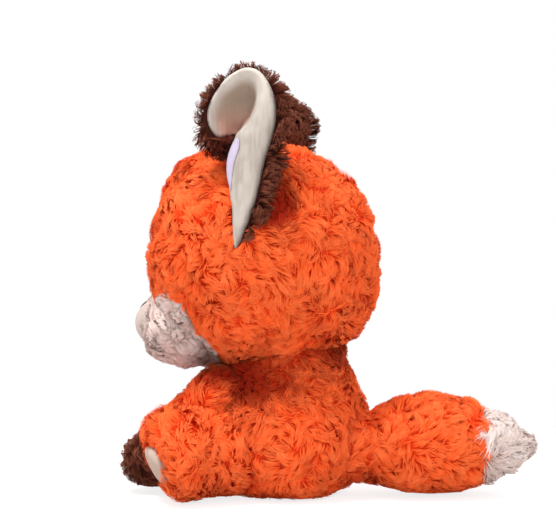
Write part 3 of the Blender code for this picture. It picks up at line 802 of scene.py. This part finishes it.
SKIN_GRAIN = 600.0
SKIN_BRIGHTENING = 1.2
SKIN_RANGE = (0.3, 0.8)
PLUSH_CLOUD = 90.0
PLUSH_DETAIL = 4.0
PLUSH_RANGE = (0.35, 0.65)
PLUSH_GRAIN = 1400.0
PLUSH_RELIEF = {"Strength": 0.25, "Distance": 0.0003}
FOLD_GRAIN = 300.0
FOLD_RANGE = (0.38, 0.55)
FOLD_RELIEF = {"Strength": 0.5, "Distance": 0.0015}
GLOSS_CLOUD = 300.0
GLOSS_SHARES = (0.8, 1.2)


def skin_material(name, colour):
    shader = Shader(name)
    place = shader.add("ShaderNodeTexCoord")
    grain = shader.noise(place.outputs["Object"], SKIN_GRAIN)
    bright = [part * SKIN_BRIGHTENING for part in colour[:3]] + [1]
    tint = shader.ramp(grain, *zip(SKIN_RANGE, (colour, bright)))
    return shader.finish(Base_Color=tint, Roughness=0.95, Specular_IOR_Level=0.1)


orange_fur = fur_material("orange_pile", ORANGE_ROOT, ORANGE_MIDDLE, ORANGE_TIP, DEEP, BRIGHT)
brown_fur = fur_material("brown_pile", BROWN_ROOT, BROWN_MIDDLE, BROWN_TIP, DEEP, BRIGHT)
cream_fur = fur_material("cream_pile", CREAM_ROOT, CREAM_MIDDLE, CREAM_TIP, DEEP, BRIGHT)
muzzle_fur = fur_material("muzzle_pile", MUZZLE_ROOT, MUZZLE_MIDDLE, MUZZLE_TIP, DEEP, BRIGHT)
orange_skin = skin_material("orange_skin", linear(222, 68, 28))
brown_skin = skin_material("brown_skin", linear(52, 24, 18))
cream_skin = skin_material("cream_skin", linear(208, 194, 188))


def plush_material(name, colour, shade):
    """Short smooth pile, with fine mottling and a soft sheen at grazing angles."""
    shader = Shader(name)
    place = shader.add("ShaderNodeTexCoord")
    cloud = shader.noise(place.outputs["Object"], PLUSH_CLOUD, PLUSH_DETAIL)
    grain = shader.noise(place.outputs["Object"], PLUSH_GRAIN)
    tint = shader.ramp(cloud, *zip(PLUSH_RANGE, (shade, colour)))
    bump = shader.add("ShaderNodeBump", {"Height": grain, **PLUSH_RELIEF})
    return shader.finish(
        Base_Color=tint, Normal=bump, Roughness=0.9, Sheen_Weight=0.15, Sheen_Roughness=0.4,
        Specular_IOR_Level=0.2,
    )


def lining_material(name):
    """The ears' short pile: pale on the rim and the band, with painted shade deep in the cup, a pinkish
    painted bounce of the orange fur low in it, a painted shadow at its lower rear, and painted shade in the
    band's wrinkles.
    """
    shader = Shader(name)
    place = shader.add("ShaderNodeTexCoord")
    parts = shader.add("ShaderNodeSeparateXYZ", {"Vector": place.outputs["Object"]})
    out = shader.add("ShaderNodeMath", {0: parts.outputs[0]}, operation="ABSOLUTE")
    # Painted shade: the deeper the pile lies in the cup, the more it takes the cup's shaded colours
    deep = shader.add("ShaderNodeMapRange", {
        0: out, 1: CUP_RIM, 2: CUP_DEPTH,
    }, interpolation_type="SMOOTHSTEP")
    # Painted shade in the cup, from its top down to a pinkish painted bounce low in it
    low = shader.add("ShaderNodeMapRange", {0: parts.outputs[2], 1: CUP_TOP, 2: CUP_LOW})
    cup = shader.mix(low, CUP_SHADE_UPPER, CUP_SHADE_AND_BOUNCE_LOWER)
    # A painted shadow at the cup's lower rear
    lowest = shader.add("ShaderNodeMapRange", {0: parts.outputs[2], 1: CUP_SHADOW_TOP, 2: CUP_SHADOW_LOW})
    rearmost = shader.add("ShaderNodeMapRange", {0: parts.outputs[1], 1: CUP_SHADOW_FRONT, 2: CUP_SHADOW_BACK})
    dark = shader.add("ShaderNodeMath", {0: lowest, 1: rearmost}, operation="MULTIPLY")
    cup = shader.mix(dark, cup, CUP_SHADOW)
    cloud = shader.noise(place.outputs["Object"], PLUSH_CLOUD, PLUSH_DETAIL)
    rim = shader.ramp(cloud, *zip(PLUSH_RANGE, (LINING_SHADE, LINING_COLOUR)))
    # The band's colour darkens in the folds of its wrinkles: painted shade
    stretched = {"Vector": place.outputs["Object"], "Scale": WRINKLE_SHARES}
    fold = shader.noise(shader.add("ShaderNodeMapping", stretched), FOLD_GRAIN)
    band = shader.ramp(fold, *zip(FOLD_RANGE, (BAND_SHADE, BAND_COLOUR)))
    below = shader.add("ShaderNodeMapRange", {
        0: parts.outputs[2], 1: BAND_TOP, 2: BAND_LOW,
    }, interpolation_type="SMOOTHSTEP")
    pale = shader.mix(below, rim, band.outputs[0])
    tint = shader.mix(deep, pale, cup)
    grain = shader.noise(place.outputs["Object"], PLUSH_GRAIN)
    folded = shader.add("ShaderNodeBump", {"Height": fold, **FOLD_RELIEF})
    bump = shader.add("ShaderNodeBump", {"Height": grain, "Normal": folded, **PLUSH_RELIEF})
    return shader.finish(
        Base_Color=tint, Normal=bump, Roughness=0.9, Sheen_Weight=0.1, Sheen_Roughness=0.4,
        Specular_IOR_Level=0.2,
    )


def plastic_material(name, colour, roughness):
    """Moulded plastic, its gloss a little uneven."""
    shader = Shader(name)
    place = shader.add("ShaderNodeTexCoord")
    cloud = shader.noise(place.outputs["Object"], GLOSS_CLOUD)
    low, high = [roughness * share for share in GLOSS_SHARES]
    gloss = shader.add("ShaderNodeMapRange", {0: cloud, 3: low, 4: high})
    return shader.finish(Base_Color=colour, Roughness=gloss)


gloss_black = plastic_material("gloss_black", linear(22, 20, 20), 0.12)
washer_grey = plastic_material("washer_grey", linear(188, 188, 186), 0.5)
ear_lining = lining_material("ear_lining_plush")
snout_plush = plush_material("snout_plush", linear(188, 177, 173), linear(181, 169, 164))
pad_plush = plush_material("pad_plush", linear(186, 172, 160), linear(176, 161, 148))
seat_plush = plush_material("seat_plush", linear(214, 60, 28), linear(196, 50, 24))
pouch_cotton = plush_material("pouch_cotton", linear(216, 210, 198), linear(206, 199, 186))
tag_cloth = plush_material("tag_satin", linear(178, 173, 196), linear(173, 168, 191))

# The cream patch's edge on the side of the head, as (y, z)
PATCH_EDGE = (
    (-0.120, 0.1255), (-0.075, 0.1275), (-0.060, 0.1290), (-0.051, 0.1250), (-0.047, 0.1150),
    (-0.041, 0.1040), (-0.037, 0.0960), (-0.040, 0.0850), (-0.075, 0.0800), (-0.120, 0.0850),
)
SOLE_FACING = (0.63, -0.777, 0)
PAD_CLEARING = (0.0125, 0.0158)
PAD_CLEARING_SHIFT = 0.0015
PAD_LOWERING = 0.0045
SOLE_SLOPE = 0.32
SOLE_SLOPE_TOP = 0.036
SOLE_SLOPE_START = -0.046
SOLE_SLOPE_END = -0.064
EYE_CLEARING = 0.0070
SNOUT_CENTRE = (0, -0.0835, 0.1090)
SNOUT_CLEARING = (0.0208, 0.0195, 0.0170)
SNOUT_BACK = -0.0880
LONG_PILE = Pile(length=0.0120, height=0.0040)
TAIL_PILE = Pile(length=0.0130, height=0.0044, swirl=0.5, bias=(-0.40, 1.3, -0.1))
MUZZLE_PILE = Pile(
    length=0.0075, height=0.0036, spacing=0.0062, density=2.8e6, width=0.0005, curl=0.8, gather=0.35,
    rounding=0.35, bias=(0, 0.7, -0.3)
)
LEG_PILES = {
    side: Pile(length=0.0120, height=0.0044, swirl=0.6, bias=(side * 0.5, -0.9, 0.1))
    for side in SIDES.values()
}
PAW_PILE = Pile(
    length=0.0095, height=0.0052, spacing=0.0052, density=1.6e6, width=0.0005, curl=0.7,
    bias=(0, -0.3, -0.1)
)
TIP_PILE = Pile(
    length=0.0120, height=0.0046, spacing=0.0075, density=1.5e6, width=0.00065, curl=0.7, gather=0.4,
    rounding=0.3, swirl=0.8, bias=(-0.40, 1.2, 0.1)
)
EAR_LAY_BACK = 1.2
EAR_PILES = {
    side: Pile(
        length=0.0088, height=0.0066, spacing=0.0056, density=2.3e6, width=0.0005, curl=0.5,
        gather=0.65, bias=(-EAR_LAY_BACK * side, 0.3, 0.1)
    ) for side in SIDES.values()
}
EAR_VOXEL = 0.0015
EAR_SMOOTHING = 4
HEAD_SIDE = 0.050

# Slot, and the materials of the fur and of the skin under it
ORANGE_COAT = ("orange_fur", orange_fur, orange_skin)
BROWN_COAT = ("brown_fur", brown_fur, brown_skin)
CREAM_COAT = ("cream_fur", cream_fur, cream_skin)
MUZZLE_COAT = ("cream_fur", muzzle_fur, cream_skin)
# Node, body, pile and coat
FURRY = (
    ("head", "head", LONG_PILE, ORANGE_COAT),
    ("torso", "torso", LONG_PILE, ORANGE_COAT),
    *(("leg_" + name, "leg_" + name, LEG_PILES[side], ORANGE_COAT) for name, side in SIDES.items()),
    *(("arm_" + name, "arm_" + name, LONG_PILE, ORANGE_COAT) for name in SIDES),
    *(("paw_" + name, "arm_" + name, PAW_PILE, BROWN_COAT) for name in SIDES),
    ("tail", "tail", TAIL_PILE, ORANGE_COAT),
    ("tail_tip", "tail", TIP_PILE, CREAM_COAT),
    ("muzzle_fur", "head", MUZZLE_PILE, MUZZLE_COAT),
)
# Node, body, slot, material and inset of the pieces without long fur
SMOOTH = (
    ("snout", "head", "cream_plush", snout_plush, -0.0024),
    *(("sole_pad_" + name, "leg_" + name, "cream_plush", pad_plush, -0.0022) for name in SIDES),
    ("base_panel", "torso", "seat_fabric", seat_plush, 0),
)
HARD = (
    ("eye_left", gloss_black), ("eye_right", gloss_black), ("nose", gloss_black),
    ("eye_washer_left", washer_grey), ("eye_washer_right", washer_grey), ("nose_washer", washer_grey),
    ("bean_bag", pouch_cotton),
)
TAIL_LIFT = 0.0035
TIP_START = 0.120
TIP_END = 0.150
TIP_MIDDLE = 0.0265
TIP_TAPER = 0.50
FLOOR_LIFT = 0.0026
FLOOR_LIFT_END = 0.050
NECK_START = 0.048
NECK_END = 0.084
NECK_NARROWING = 0.18
VOXEL = 0.0026
SKIN_SMOOTHING = 8
PLUSH_VOXEL = 0.0011
PLUSH_SMOOTHING = 6
SKIN_INSET = -0.0006
COAT_STRANDS = 38000


def sloped_sole(places):
    """Draws the lower front of a foot back, as the filling lets it."""
    ahead = np.clip((places[:, 1] - SOLE_SLOPE_START) / (SOLE_SLOPE_END - SOLE_SLOPE_START), 0, 1)
    places[:, 1] += SOLE_SLOPE * np.maximum(SOLE_SLOPE_TOP - places[:, 2], 0) * ahead


def soft_skin(obj, voxel=VOXEL, inset=SKIN_INSET, smoothing=SKIN_SMOOTHING):
    """Turns a solid into an even, smooth skin, a little inside the solid."""
    even = obj.modifiers.new("Even", "REMESH")
    even.mode = "VOXEL"
    even.voxel_size = voxel
    soft = obj.modifiers.new("Soft", "SMOOTH")
    soft.iterations = smoothing
    shrunk = obj.modifiers.new("Inset", "DISPLACE")
    shrunk.strength = -inset
    shrunk.mid_level = 0
    return finished(obj)


def dressed(obj, node, body):
    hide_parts(node)
    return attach(obj, body)


def make_skin(node, body, material):
    """The skin under a coat, with the forms that the fur's padding adds to the solid."""
    obj = soft_skin(add_object(node + "_skin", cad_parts[node].data.copy(), material))
    places = vertex_places(obj.data)
    places += vertex_normals(obj.data) * swell(node, places, True)
    if node == "torso":
        share = np.clip((places[:, 2] - NECK_START) / (NECK_END - NECK_START), 0, 1)
        places[:, 0] *= 1 - NECK_NARROWING * share ** 2 * (3 - 2 * share)
    if node.startswith("leg"):
        sloped_sole(places)
    if node == "tail_tip":
        along = np.clip((places[:, 1] - TIP_START) / (TIP_END - TIP_START), 0, 1)
        places[:, 2] = TIP_MIDDLE + (places[:, 2] - TIP_MIDDLE) * (1 - TIP_TAPER * along)
    if body == "tail":
        places[:, 2] += TAIL_LIFT
    else:
        places[:, 2] += FLOOR_LIFT * np.clip(1 - places[:, 2] / FLOOR_LIFT_END, 0, 1)
    obj.data.vertices.foreach_set("co", places.ravel())
    return dressed(obj, node, body)


def make_plush(node, body, material, inset):
    """A piece of smooth short pile, with its edges rounded."""
    copy = add_object(node + "_plush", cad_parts[node].data.copy(), material)
    obj = soft_skin(copy, PLUSH_VOXEL, inset, PLUSH_SMOOTHING)
    if node.startswith("sole"):
        places = vertex_places(obj.data)
        places[:, 2] -= PAD_LOWERING
        sloped_sole(places)
        obj.data.vertices.foreach_set("co", places.ravel())
    return dressed(obj, node, body)


skins = {node: make_skin(node, body, skin) for node, body, _, (slot, _, skin) in FURRY}
for node, body, slot, material, inset in SMOOTH:
    skins[node] = make_plush(node, body, material, inset)
surfaces = {node: Surface(obj) for node, obj in skins.items()}
for node, material in HARD:
    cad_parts[node].data.materials.clear()
    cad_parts[node].data.materials.append(material)
# Which neighbours' surfaces cover a node's roots
COVERED_BY = {
    "head": ("torso", "muzzle_fur"),
    "torso": ("head", "arm_left", "arm_right"),
    "tail": ("tail_tip",),
    "tail_tip": ("tail",),
    "muzzle_fur": ("head", "snout"),
}
for name in SIDES:
    COVERED_BY["leg_" + name] = ("torso", "sole_pad_" + name)
    COVERED_BY["arm_" + name] = ("torso", "paw_" + name)
    COVERED_BY["paw_" + name] = ("arm_" + name,)


def beside_ears(places):
    """Which roots on the head aren't under an ear."""
    outline = closed_curve(BACK_EDGE, OUTLINE_STEP)
    low = within(outline, places[:, 1:]) & (np.abs(places[:, 0]) > HEAD_SIDE)
    return ~low


def under_muzzle(places):
    """Which roots on the head belong to the cream patch round the muzzle."""
    return within(closed_curve(PATCH_EDGE, OUTLINE_STEP), places[:, 1:])


def on_orange(places):
    """Which roots on the head belong to its orange fur."""
    return beside_ears(places) & ~under_muzzle(places)


def over_pads(points):
    """Which strands would lie over a sole pad."""
    hidden = np.zeros(len(points), bool)
    for side in (1, -1):
        middle = np.mean(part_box("sole_pad_left" if side > 0 else "sole_pad_right"), axis=0)
        outward = unit(np.array(SOLE_FACING) * (side, 1, 1))
        inward = np.array((side * outward[1], -side * outward[0], 0))
        offset = points - middle - inward * PAD_CLEARING_SHIFT + np.array((0, 0, PAD_LOWERING))
        ahead = offset @ outward
        sideways = offset @ inward / PAD_CLEARING[0]
        upward = offset[:, :, 2] / PAD_CLEARING[1]
        hidden |= ((ahead > 0) & (sideways ** 2 + upward ** 2 < 1)).any(1)
    return hidden


def over_snout(points):
    """Which strands would lie over the smooth snout."""
    offset = (points - np.array(SNOUT_CENTRE)) / np.array(SNOUT_CLEARING)
    return (((offset ** 2).sum(2) < 1) & (points[:, :, 1] < SNOUT_BACK)).any(1)


def over_eyes(points):
    """Which strands would lie over an eye."""
    hidden = np.zeros(len(points), bool)
    for name in ("eye_left", "eye_right"):
        apart = np.linalg.norm(points - np.mean(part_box(name), axis=0), axis=2)
        hidden |= (apart < EYE_CLEARING).any(1)
    return hidden


def make_coat(node, body, pile, material, keep=None):
    surface = surfaces[node]
    blockers = [surfaces[name] for name in COVERED_BY[node]]
    places, normals = rooted(surface, pile, blockers, keep)
    points, shading, tones = strands(
        places, normals, pile, swell(node, places, False), painted_shade_depth(node, places)
    )
    clear = ~(over_pads(points) | over_snout(points) | over_eyes(points))
    places, points, shading, tones = places[clear], points[clear], shading[clear], tones[clear]
    middle = surface.points.mean(0)
    turns = np.arctan2(places[:, 1] - middle[1], places[:, 0] - middle[0])
    parts = math.ceil(len(places) / COAT_STRANDS)
    for index, part in enumerate(np.array_split(np.argsort(turns), parts)):
        name = f"{node}_{material.name}_{index + 1}"
        coat = ribbons(name, points[part], shading[part], tones[part], pile.width, material)
        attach(coat, body)


for node, body, pile, (slot, fur, _) in FURRY:
    if node == "head":
        make_coat(node, body, pile, fur, on_orange)
        make_coat(node, body, MUZZLE_PILE, muzzle_fur, under_muzzle)
    else:
        make_coat(node, body, pile, fur)


def bend_with_ear(obj):
    """Applies the transform of a piece of the ear to its mesh."""
    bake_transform(obj)


def before_lining(places, side, depth):
    """Which places lie in front of the ear's lining, or less than a depth behind it."""
    flat = places[:, 1:].copy()
    if side < 0:
        fold, base = FAR_EAR_FOLD, FAR_EAR_BASE
        y, z = flat.T
        flat[:, 0] = np.where(y > fold, fold + (y - fold) / FAR_EAR_SHARE, y)
        flat[:, 1] = np.where(z > base, base + (z - base) / FAR_EAR_HEIGHT_SHARE, z)
    inside = within(closed_curve(LINING_EDGE, OUTLINE_STEP), flat)
    inside[inside] = side * places[inside, 0] > fitted(LINING_FORM, flat[inside]) + depth
    return inside


def make_ear(side_name, side):
    lining = ear_sheet(
        "ear_lining_" + side_name, side, LINING_EDGE, 0, RIM_ROUND, LINING_THICKNESS, ear_lining
    )
    finished(lining)
    back = ear_sheet(
        "ear_back_" + side_name, side, BACK_EDGE, -BACK_BEHIND, RIM_ROUND, BACK_THICKNESS, brown_skin
    )
    soft_skin(back, EAR_VOXEL, 0, EAR_SMOOTHING)
    back_surface = Surface(back)

    def behind(places):
        return ~before_lining(places, side, -BACK_BEHIND - BACK_THICKNESS * BARE_SHARE)

    pile = EAR_PILES[side]
    places, normals = rooted(back_surface, pile, [surfaces["head"]], behind)
    points, shading, tones = strands(places, normals, pile, 0, painted_shade_depth("ear", places))
    crossing = before_lining(points.reshape(-1, 3), side, LINING_CLEARANCE).reshape(len(points), -1)
    clear = ~crossing.any(1)
    points, shading, tones = points[clear], shading[clear], tones[clear]
    coat = ribbons("ear_coat_" + side_name, points, shading, tones, pile.width, brown_fur)
    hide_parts("ear_root_lining_" + side_name, "ear_flap_lining_" + side_name)
    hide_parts("ear_root_" + side_name, "ear_flap_" + side_name)
    for piece in (lining, back, coat):
        bend_with_ear(piece)


def make_tag():
    tag = ear_sheet("ear_tag_cloth", 1, TAG_EDGE, TAG_PROUD, TAG_THICKNESS, TAG_THICKNESS, tag_cloth)
    finished(tag)
    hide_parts("ear_tag")
    bend_with_ear(tag)


for name, side in SIDES.items():
    make_ear(name, side)
make_tag()


def make_camera():
    data = bpy.data.cameras.new("camera")
    data.lens = CAMERA_LENS
    data.sensor_width = SENSOR_WIDTH
    camera = bpy.data.objects.new("camera", data)
    bpy.context.scene.collection.objects.link(camera)
    toward = Vector((math.sin(CAMERA_TURN), math.cos(CAMERA_TURN), 0))
    rightward = Vector((-math.cos(CAMERA_TURN), math.sin(CAMERA_TURN), 0))
    camera.location = toward * CAMERA_DISTANCE + rightward * CAMERA_SHIFT
    camera.location.z = CAMERA_HEIGHT
    camera.rotation_euler = (-toward).to_track_quat("-Z", "Y").to_euler()
    bpy.context.scene.camera = camera


# Name, place, size in metres and power in watts of each white light
LIGHTS = (
    ("key", (0.47, -0.30, 1.40), 0.3, 19),
    ("fill", (1.10, 0.60, 0.60), 1.0, 5.0),
    ("back", (-0.7, 0.5, 1.1), 0.8, 3.0),
)
LIGHT_AIM = (0, 0, 0.12)
SURROUND = (1, 0.84, 0.78, 1)


def area_light(name, place, size, power):
    data = bpy.data.lights.new(name, "AREA")
    data.shape = "DISK"
    data.size = size
    data.energy = power
    light = bpy.data.objects.new(name, data)
    bpy.context.scene.collection.objects.link(light)
    light.location = place
    light.rotation_euler = (Vector(LIGHT_AIM) - Vector(place)).to_track_quat("-Z", "Y").to_euler()


def make_studio():
    scene = bpy.context.scene
    scene.view_settings.view_transform = "Standard"
    world = bpy.data.worlds.new("studio")
    world.use_nodes = True
    scene.world = world
    nodes = Nodes(world.node_tree)
    background = nodes.tree.nodes["Background"]
    nodes.feed(background, "Color", SURROUND)
    nodes.feed(background, "Strength", 1.0)
    white = nodes.add("ShaderNodeBackground", {"Color": grey(1)})
    mixed = nodes.add("ShaderNodeMixShader", {0: nodes.seen(), 1: background, 2: white})
    nodes.feed(nodes.tree.nodes["World Output"], "Surface", mixed)
    for name, place, size, power in LIGHTS:
        area_light(name, place, size, power)


make_camera()
make_studio()

FLOOR_HALF = 1.6
SHADE_START = 0.16
SHADE_END = 0.42
FLOOR_GLOW = 0.80
FLOOR_SHADE = 0.32
FLOOR_BOUNCE = 0.65


def make_floor():
    """A white floor, which shows the contact shadow near the fox and is plain white beyond."""
    mesh = bpy.data.meshes.new("floor")
    half = FLOOR_HALF
    corners = [(-half, -half, 0), (half, -half, 0), (half, half, 0), (-half, half, 0)]
    mesh.from_pydata(corners, [], [(0, 1, 2, 3)])
    shader = Shader("floor_white")
    tree = shader.tree
    tree.nodes.remove(shader.surface)
    place = shader.add("ShaderNodeTexCoord")
    distance = shader.add("ShaderNodeVectorMath", {0: place.outputs["Object"]}, operation="LENGTH")
    fade = shader.add("ShaderNodeMapRange", {
        0: distance.outputs["Value"], 1: SHADE_START, 2: SHADE_END,
    }, interpolation_type="SMOOTHSTEP")
    plain = shader.add("ShaderNodeBsdfDiffuse", {"Color": grey(FLOOR_BOUNCE)})
    white = shader.add("ShaderNodeEmission", {"Color": grey(1), "Strength": 1.0})
    glow = shader.add("ShaderNodeEmission", {"Color": grey(1), "Strength": FLOOR_GLOW})
    shade = shader.add("ShaderNodeBsdfDiffuse", {"Color": grey(FLOOR_SHADE)})
    near = shader.add("ShaderNodeAddShader", {0: glow, 1: shade})
    shown = shader.add("ShaderNodeMixShader", {0: fade, 1: near, 2: white})
    final = shader.add("ShaderNodeMixShader", {0: shader.seen(), 1: plain, 2: shown})
    shader.feed(tree.nodes["Material Output"], "Surface", final)
    add_object("floor", mesh, shader.material)


make_floor()
